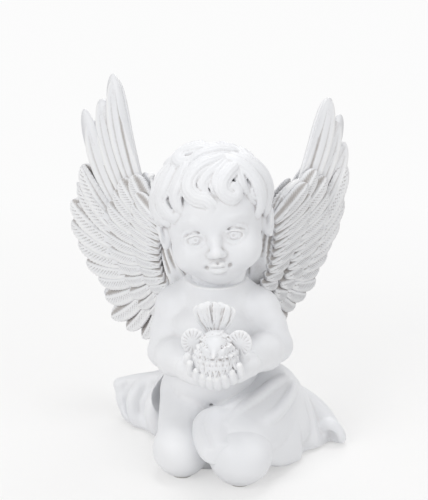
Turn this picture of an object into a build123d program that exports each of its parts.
from build123d import *
import os
from math import cos, radians, sin

# Resin angel: a kneeling cherub with spread wings that holds a dove in cupped hands, a loose cloth round
# its hips. Millimetres, +Z up, the figure faces -Y, and "left" is the viewer's left (-X). The castings stand
# on felt pads. Everything is modelled about the hips and moved at the end, so that the origin is the
# middle of the bounding box on the table.

# Trunk and legs
hip_height = 22.0
hip_spread = 24.0
pelvis_radius = 17.0
belly_radius = 18.5
chest_radius = 14.0
torso_height = 44.0
shoulder_spread = 40.0
neck_rise = 12.0
neck_radius = 8.5
left_thigh_reach = 36.0
right_thigh_reach = 41.0
thigh_radius = 14.0
knee_radius = 12.0
shin_length = 62.0
ankle_radius = 7.0
foot_length = 13.0
web_width = 34.0
web_height = 11.0

# Arms and hands
arm_radius = 8.4
elbow_radius = 7.6
wrist_radius = 5.8
hand_forward = 45.0
hand_rise = 26.0
finger_radius = 2.5
finger_pitch = 4.0
fingers = 6

# Head, about the middle of the skull
skull_radius = 23.0
skull_rise = 30.0
cheek_radius = 13.5
head_roll = 8.0
head_yaw = 6.0
curl_radius = 7.5
curl_reach = 21.0

# Dove
dove_radius = 9.0
dove_head_radius = 5.8
dove_tail_length = 18.0
dove_wing_length = 10.5
dove_feather = 2.4

# Wings, in the upright plane of each: u runs outwards from the root and v up from the shoulder
left_wing_sweep = 28.0
right_wing_sweep = 40.0
left_wing_height = 98.0
right_wing_height = 90.0
wing_width = 55.0
feather_thickness = 2.0
row_step = 1.6
arm_ridge_radius = 4.6
wing_seat_back = 13.5
wing_seat_x = 13.0
boss_radius = 9.0

# Cloth
cloth_thickness = 2.6
fold_radius = 4.0

# Joints
glue_gap = 0.15
pin_radius = 1.5
pin_slip = 0.05
wing_pin_length = 11.0
wing_pin_pitch = 6.0
neck_pin_radius = 2.5
neck_pin_length = 22.0
dove_pin_length = 10.0
pad_thickness = 1.0
pad_radius = 4.5

# Size of the blocks that cut a solid in two
reach = 400.0

# Places worked out from the sizes above
mid_x = 1.0
shoulder_z = hip_height + torso_height
chest_z = shoulder_z - 9.0
neck_z = shoulder_z + neck_rise
hand_y = -hand_forward
hand_z = hip_height + hand_rise
left_knee = Vector(mid_x - hip_spread / 2 + 1.5, 2 - left_thigh_reach, knee_radius)
right_knee = Vector(mid_x + hip_spread / 2 + 3.5, 2 - right_thigh_reach, knee_radius + 1.5)
left_hip = Vector(mid_x - hip_spread / 2, 2, hip_height)
right_hip = Vector(mid_x + hip_spread / 2, 2, hip_height)
head_centre = Vector(mid_x - 0.5, 1, neck_z + skull_rise)


def limb(start, end, start_radius, end_radius):
    """Two balls and the cone that touches both, as one turned solid."""
    start = Vector(*start)
    axis = Vector(*end) - start
    length = axis.length
    lean = (start_radius - end_radius) / length
    rise = (1 - lean * lean) ** 0.5
    first = (start_radius * rise, start_radius * lean)
    last = (end_radius * rise, length + end_radius * lean)
    low = (start_radius * cos(radians(45)), -start_radius * sin(radians(45)))
    top = (end_radius * cos(radians(60)), length + end_radius * sin(radians(60)))
    outline = [
        ThreePointArc((0, -start_radius), low, first),
        Line(first, last),
        ThreePointArc(last, top, (0, length + end_radius)),
        Line((0, length + end_radius), (0, -start_radius)),
    ]
    turned = revolve(Plane.XZ * make_face(outline), Axis.Z)
    return Plane(origin=start, z_dir=axis) * turned


def ball(centre, radius):
    return Pos(*centre) * Sphere(radius)


def feather(length, width, thickness):
    """Flat feather along +X: narrow root, full middle, round tip."""
    half = width / 2
    root = half * 0.45
    outline = [
        ThreePointArc((0, -root), (0.4 * length, -half), (0.82 * length, -0.8 * half)),
        ThreePointArc((0.82 * length, -0.8 * half), (length, 0), (0.82 * length, 0.8 * half)),
        ThreePointArc((0.82 * length, 0.8 * half), (0.4 * length, half), (0, root)),
        Line((0, root), (0, -root)),
    ]
    return extrude(make_face(outline), amount=thickness)


def join(solids):
    return solids[0].fuse(*solids[1:])


def above(solid, height):
    """What of a solid lies above a level, cut before the solids are joined."""
    return solid & Pos(0, 0, height + reach / 2) * Box(2 * reach, 2 * reach, reach)


def below(solid, height):
    return solid & Pos(0, 0, height - reach / 2) * Box(2 * reach, 2 * reach, reach)


def in_front(solid, y):
    return solid & Pos(0, y - reach / 2, 0) * Box(2 * reach, reach, 2 * reach)


def behind(solid, y):
    return solid & Pos(0, y + reach / 2, 0) * Box(2 * reach, reach, 2 * reach)


def trunk_shapes(extra=0.0):
    """Trunk, legs and feet, grown by extra to cut a seat for what lies on them."""
    x = mid_x
    left_ankle = (x - 15, left_knee.Y + shin_length, ankle_radius + 0.4)
    right_ankle = (x + 17, right_knee.Y + shin_length + 4, ankle_radius + 0.4)
    web_length = left_thigh_reach + 28
    web = Pos(x, 0, web_height / 2) * Rotation(0, 0, 90) * extrude(
        SlotOverall(web_length + 2 * extra, web_width + 2 * extra), web_height / 2 + extra, both=True)
    grown = [
        ((x - 9, 6, hip_height + 2), (x + 9, 6, hip_height + 2), pelvis_radius, pelvis_radius),
        ((x - 3, -6, hip_height + 14), (x + 4, -6, hip_height + 14), belly_radius, belly_radius),
        ((x - 8, -1.5, chest_z), (x + 8, -1.5, chest_z), chest_radius, chest_radius),
        (left_hip, left_knee, thigh_radius, knee_radius - 0.5),
        (right_hip, right_knee, thigh_radius + 1, knee_radius + 1),
        (left_knee - Vector(0, 0, 3), left_ankle, knee_radius - 3, ankle_radius),
        (right_knee - Vector(0, 0, 3), right_ankle, knee_radius - 2, ankle_radius),
        (left_ankle, (left_ankle[0] + 2, left_ankle[1] + foot_length, 5.4), ankle_radius, 5),
        (right_ankle, (right_ankle[0] - 2, right_ankle[1] + foot_length, 5.4), ankle_radius, 5),
    ]
    return [web] + [limb(a, b, ra + extra, rb + extra) for a, b, ra, rb in grown]


def arm_shapes(extra=0.0):
    """Shoulders, arms, palms, fingers and thumbs, grown by extra as above."""
    x = mid_x
    half = shoulder_spread / 2
    left_shoulder = (x - half, 1, shoulder_z)
    right_shoulder = (x + half, 1, shoulder_z)
    left_elbow = (x - half - 3, -9, hand_z - 2)
    right_elbow = (x + half + 8, -9, hand_z + 5)
    left_wrist = (x - 9, hand_y + 9, hand_z)
    right_wrist = (x + 20, hand_y + 9, hand_z + 5)
    left_palm = (x + 3, hand_y, hand_z + 1)
    right_palm = (x + 9, hand_y, hand_z + 2)
    left_thumb = (x - 8, hand_y + 3, hand_z + 8)
    right_thumb = (x + 17, hand_y + 3, hand_z + 8)
    grown = [
        (left_shoulder, right_shoulder, arm_radius, arm_radius),
        (left_shoulder, left_elbow, arm_radius, elbow_radius),
        (right_shoulder, right_elbow, arm_radius, elbow_radius),
        (left_elbow, left_wrist, elbow_radius, wrist_radius),
        (right_elbow, right_wrist, elbow_radius, wrist_radius),
        (left_wrist, left_palm, wrist_radius, 5),
        (right_wrist, right_palm, wrist_radius, 5),
        (left_wrist, left_thumb, 4, 2.8),
        (right_wrist, right_thumb, 4, 2.8),
    ]
    first = x + 6 - finger_pitch * (fingers - 1) / 2
    for i in range(fingers):
        knuckle = (first + i * finger_pitch, hand_y - 1, hand_z - 1)
        fingertip = (first + i * finger_pitch, hand_y - 8.5, hand_z + 2.5)
        grown.append((knuckle, fingertip, finger_radius + 0.4, finger_radius))
    return [limb(a, b, ra + extra, rb + extra) for a, b, ra, rb in grown]


def wing_pins(side):
    """Two dowels along Y through one wing's butt joint."""
    pins = []
    for step in (-0.5, 0.5):
        place = Pos(mid_x + side * wing_seat_x, wing_seat_back, shoulder_z + step * wing_pin_pitch)
        pins.append(place * Rotation(90, 0, 0) * Cylinder(pin_radius, wing_pin_length))
    return pins


def holes_for(pins):
    """The pins again, wider by the slip, to cut their holes."""
    wider = (pin_radius + pin_slip) / pin_radius
    return [Pos(*pin.center()) * Rotation(90, 0, 0) * Cylinder(pin_radius * wider, wing_pin_length + 0.4)
            for pin in pins]


def body_casting():
    neck = limb((mid_x, 1, shoulder_z), (mid_x + 0.5, 0, neck_z + 4), neck_radius, neck_radius)
    blades = [in_front(ball((mid_x + side * wing_seat_x, wing_seat_back - 5.5, shoulder_z), boss_radius),
                       wing_seat_back) for side in (-1, 1)]
    slopes = [limb((mid_x + side * 2, 1.5, shoulder_z + 5), (mid_x + side * (shoulder_spread / 2 - 4), 1.5, shoulder_z + 1),
                   neck_radius - 1, arm_radius - 1) for side in (-1, 1)]
    standing = [above(shape, pad_thickness) for shape in trunk_shapes()]
    neck_shapes = [below(shape, neck_z) for shape in slopes + [neck]]
    return join(standing + arm_shapes() + neck_shapes + blades)


def head_casting():
    """Skull, cheeks, nose, chin, ears and a cap of curls, in the head's own axes, then tilted."""
    cheek = cheek_radius
    shapes = [
        ball((0, 1, 4), skull_radius),
        limb((4 - cheek, -11.5, -8.5), (cheek - 4, -11.5, -8.5), cheek, cheek),
        limb((0, -12, -13), (0, -17.5, -17), 9.5, 6.5),
        limb((0, -22, -1), (0, -26.5, -7), 2.2, 3.0),
        limb((-3.5, -23.5, -13), (3.5, -23.5, -13), 2.2, 2.2),
    ]
    for side in (-1, 1):
        shapes.append(ball((side * 9, -19, -1.5), 4))
        shapes.append(limb((side * 20.5, 1, -14), (side * 22, 1, -7), 2.8, 3.8))
    for lift, count, open_front in ((-20, 7, 105), (14, 9, 54), (42, 8, 0), (72, 4, 0)):
        for i in range(count):
            gap = open_front
            turn = -90 + gap + (360 - 2 * gap) * (i + 0.5) / count
            flat = curl_reach * cos(radians(lift))
            centre = (flat * cos(radians(turn)), 2 + flat * sin(radians(turn)), 2 + curl_reach * sin(radians(lift)))
            shapes.append(ball(centre, curl_radius))
    head = Location(head_centre, (0, -head_roll, head_yaw)) * join(shapes)
    neck = limb((mid_x + 0.5, 0, neck_z - 3), head_centre - Vector(0, 0, 8), neck_radius, neck_radius + 4)
    return join([head, above(neck, neck_z)])


def dove_casting():
    """Breast, head, beak, fanned tail and half-open wings, seated in the palms."""
    seat = Vector(mid_x + 6, hand_y - 1, hand_z + 10)
    crown = seat + Vector(0, -7, 9)
    shapes = [
        limb(seat, seat + Vector(0, 3, 8), dove_radius, dove_radius - 1.5),
        limb(seat + Vector(0, -2, 6), crown, dove_radius - 2, dove_head_radius),
        limb(crown, crown + Vector(0, -7, -2), 2.6, 1),
    ]
    tail_root = seat + Vector(-1, 7, 5)
    for i in range(5):
        lean = radians(90 + 12 * (i - 2))
        along = Vector(cos(lean), 0.1, sin(lean))
        place = Plane(origin=tail_root, x_dir=along, z_dir=Vector(0, 1, 0).cross(along).cross(along) * -1)
        shapes.append(place * Pos(0, 0, -dove_feather / 2) * feather(dove_tail_length, 5, dove_feather))
    for side in (-1, 1):
        shoulder = seat + Vector(side * (dove_radius - 3), 2, 3)
        for i in range(3):
            lean = radians(38 - 26 * i)
            along = Vector(side * cos(lean), 0.35, sin(lean))
            place = Plane(origin=shoulder, x_dir=along, z_dir=Vector(0, 1, 0).cross(along).cross(along) * -1)
            shapes.append(place * Pos(0, 0, -dove_feather / 2) * feather(dove_wing_length, 5, dove_feather))
    return join(shapes)


def wing_casting(side, sweep, h):
    """Three overlapping feather rows on a bony arm, cut flat where the wing meets the back."""
    out = Vector(side * cos(radians(sweep)), sin(radians(sweep)), 0)
    back = Vector(-side * sin(radians(sweep)), cos(radians(sweep)), 0)
    if back.Y < 0:
        back = back * -1
    root = Vector(mid_x + side * 22, wing_seat_back + 3, shoulder_z)

    def place(u, v, depth):
        return root + out * u + Vector(0, 0, v) + back * depth

    w = wing_width
    arm = Spline((0, 0.02 * h), (0.09 * w, 0.16 * h), (0.17 * w, 0.32 * h), (0.2 * w, 0.6 * h))
    rows = [
        (12, 14.5, 1.0, [(0.5 * w, h), (0.8 * w, 0.8 * h), (0.98 * w, 0.36 * h), (0.78 * w, 0.06 * h),
                         (0.62 * w, -0.1 * h), (0.24 * w, -0.22 * h)]),
        (10, 12.0, 0.0, [(0.38 * w, 0.66 * h), (0.54 * w, 0.42 * h), (0.56 * w, 0.24 * h), (0.44 * w, 0.06 * h),
                         (0.2 * w, -0.1 * h)]),
        (8, 10.0, -1.0, [(0.3 * w, 0.5 * h), (0.37 * w, 0.32 * h), (0.32 * w, 0.16 * h), (0.1 * w, 0)]),
    ]
    shapes = []
    for count, width, layer, tips in rows:
        tip_line = Spline(*tips)
        for i in range(count):
            t = i / (count - 1)
            start = arm @ (1 - 0.97 * t)
            tip = tip_line @ t
            along = place(tip.X, tip.Y, 0) - place(start.X, start.Y, 0)
            blade = feather(along.length, width, feather_thickness)
            lie = Plane(origin=place(start.X, start.Y, layer * row_step), x_dir=along, z_dir=back)
            shapes.append(lie * blade)
    wrist = arm @ 1
    stops = [arm @ t for t in (0, 0.35, 0.7)] + [wrist]
    for a, b in zip(stops, stops[1:]):
        shapes.append(limb(place(a.X, a.Y, 1), place(b.X, b.Y, 1), arm_ridge_radius, arm_ridge_radius))
    shapes.append(limb(place(wrist.X, wrist.Y, 1), place(0.36 * w, 0.84 * h, 1.5), arm_ridge_radius, 2.2))
    hub = (mid_x + side * wing_seat_x, wing_seat_back + 0.5, shoulder_z)
    shapes.append(limb(hub, place(0.05 * w, 0.1 * h, 1), boss_radius - 1.8, arm_ridge_radius + 1))
    return join([behind(shape, wing_seat_back + glue_gap) for shape in shapes])


def cloth_casting():
    """Loose cloth: over the right thigh, round the back of the hips, and out to the floor on both sides."""
    t = cloth_thickness
    f = fold_radius
    hip = right_hip
    knee = right_knee
    over_thigh = limb(hip, knee, thigh_radius + 1 + t, knee_radius + 1 + t)
    hip_mass = limb(hip + Vector(6, 6, -4), hip + Vector(12, -4, -10), thigh_radius, 10)
    edge = Plane(origin=knee + Vector(-2.5, -6, 8), z_dir=(0.41, 0.26, 0.88))
    keep = edge * Pos(0, 0, 100) * Box(300, 300, 200)
    shell = [keep & over_thigh, hip_mass]
    seat = limb(left_hip + Vector(-4, 12, -3), right_hip + Vector(5, 12, -3), thigh_radius + 1, thigh_radius + 1)
    lap = Vector(mid_x, left_hip.Y - 30, hip_height + 5)
    lap_end = Vector((left_knee.X + knee.X) / 2 + 1, knee.Y - 4, knee.Z + 6)
    folds = [
        (hip + Vector(14, -8, 5), hip + Vector(8, -22, 8), f, f - 0.5),
        (hip + Vector(8, -22, 8), lap, f - 0.5, f),
        (lap, lap_end, f, f + 0.5),
        (lap_end, lap_end + Vector(1.5, -2, -4), f + 0.5, f),
        (lap_end, knee + Vector(-3, -4, 9), f, f - 1),
        (hip + Vector(20, -2, 3), hip + Vector(24, -12, -18), f + 3, f + 2),
        (hip + Vector(23, 2, 3), hip + Vector(31, -2, -17), f + 0.5, f + 0.5),
        (hip + Vector(26, 6, 1), hip + Vector(37, 6, -9), f + 0.5, f - 1),
        (hip + Vector(37, 6, -9), hip + Vector(44, 7, -19), f - 1, f - 1.5),
        (hip + Vector(12, 10, -4), hip + Vector(30, 8, -10), f + 6, f + 2),
        (left_hip + Vector(-12, 9, -1), left_hip + Vector(-36, 18, -4), f + 3, f - 1),
        (left_hip + Vector(-12, 10, -6), left_hip + Vector(-31, 14, -14), f + 6, f + 1),
        (left_hip + Vector(-9, 7, -9), left_hip + Vector(-20, 6, -15), f + 5, f + 2),
        (left_hip + Vector(-36, 18, -4), left_hip + Vector(-31, 13, -17), f - 1, f),
    ]
    for a, b, ra, rb in folds:
        shell.append(limb(a, b, ra, rb))
    trailing = [
        (left_hip + Vector(-14, 9, 1), left_hip + Vector(-36, 18, -3), left_hip + Vector(-30, 13, -19),
         left_hip + Vector(-14, 8, -19)),
        (hip + Vector(16, 6, 1), hip + Vector(24, 2, 4), hip + Vector(34, 2, -19), hip + Vector(14, 4, -19)),
    ]
    for corners in trailing:
        flat = Plane(origin=corners[0], z_dir=(corners[1] - corners[0]).cross(corners[3] - corners[0]))
        outline = [flat.to_local_coords(corner) for corner in corners]
        face = make_face(Polyline(*[(spot.X, spot.Y) for spot in outline], close=True))
        shell.append(flat * extrude(face, f, both=True))
    return join([above(shape, pad_thickness) for shape in shell + [seat]])


pieces = {}
body = body_casting()
head = head_casting()
cloth = cloth_casting() - join(trunk_shapes(glue_gap))
dove = dove_casting() - join(arm_shapes(glue_gap))

neck_pin = Pos(mid_x + 0.5, 0, neck_z) * Cylinder(neck_pin_radius, neck_pin_length)
neck_hole = Pos(mid_x + 0.5, 0, neck_z) * Cylinder(neck_pin_radius + pin_slip, neck_pin_length + 0.4)
dove_pin_place = Pos(mid_x + 6, hand_y - 0.5, hand_z + 4)
dove_pin = dove_pin_place * Cylinder(pin_radius, dove_pin_length)
dove_hole = dove_pin_place * Cylinder(pin_radius + pin_slip, dove_pin_length + 0.4)

wings = {}
for name, side, sweep, height in (("left", -1, left_wing_sweep, left_wing_height),
                                  ("right", 1, right_wing_sweep, right_wing_height)):
    pins = wing_pins(side)
    holes = holes_for(pins)
    wings[name] = wing_casting(side, sweep, height) - holes
    body = body - holes
    pieces[name + "_wing"] = wings[name]
    pieces[name + "_wing_pins"] = Compound(children=pins)

pieces["body"] = body - [neck_hole, dove_hole]
pieces["head"] = head - neck_hole
pieces["drapery"] = cloth
pieces["dove"] = dove - dove_hole
pieces["neck_pin"] = neck_pin
pieces["dove_pin"] = dove_pin

whole = Compound(children=[Compound(children=piece.solids()) for piece in pieces.values()]).bounding_box()
centre = Vector((whole.min.X + whole.max.X) / 2, (whole.min.Y + whole.max.Y) / 2, 0)
pad_places = [
    (left_knee.X, left_knee.Y),
    (right_knee.X, right_knee.Y),
    (mid_x - 15, left_knee.Y + shin_length),
    (mid_x + 17, right_knee.Y + shin_length),
    (centre.X, centre.Y),
]
pads = [Pos(x, y, pad_thickness / 2) * Cylinder(pad_radius, pad_thickness) for x, y in pad_places]
pieces["felt_pads"] = Compound(children=pads)

os.makedirs("parts", exist_ok=True)
for name, piece in pieces.items():
    solids = [solid.moved(Location(-centre)) for solid in piece.solids()]
    shape = solids[0] if len(solids) == 1 else Compound(children=solids)
    export_step(shape, f"parts/{name}.step")
    print(name, len(solids), "solids", round(sum(solid.volume for solid in solids)), "mm3")
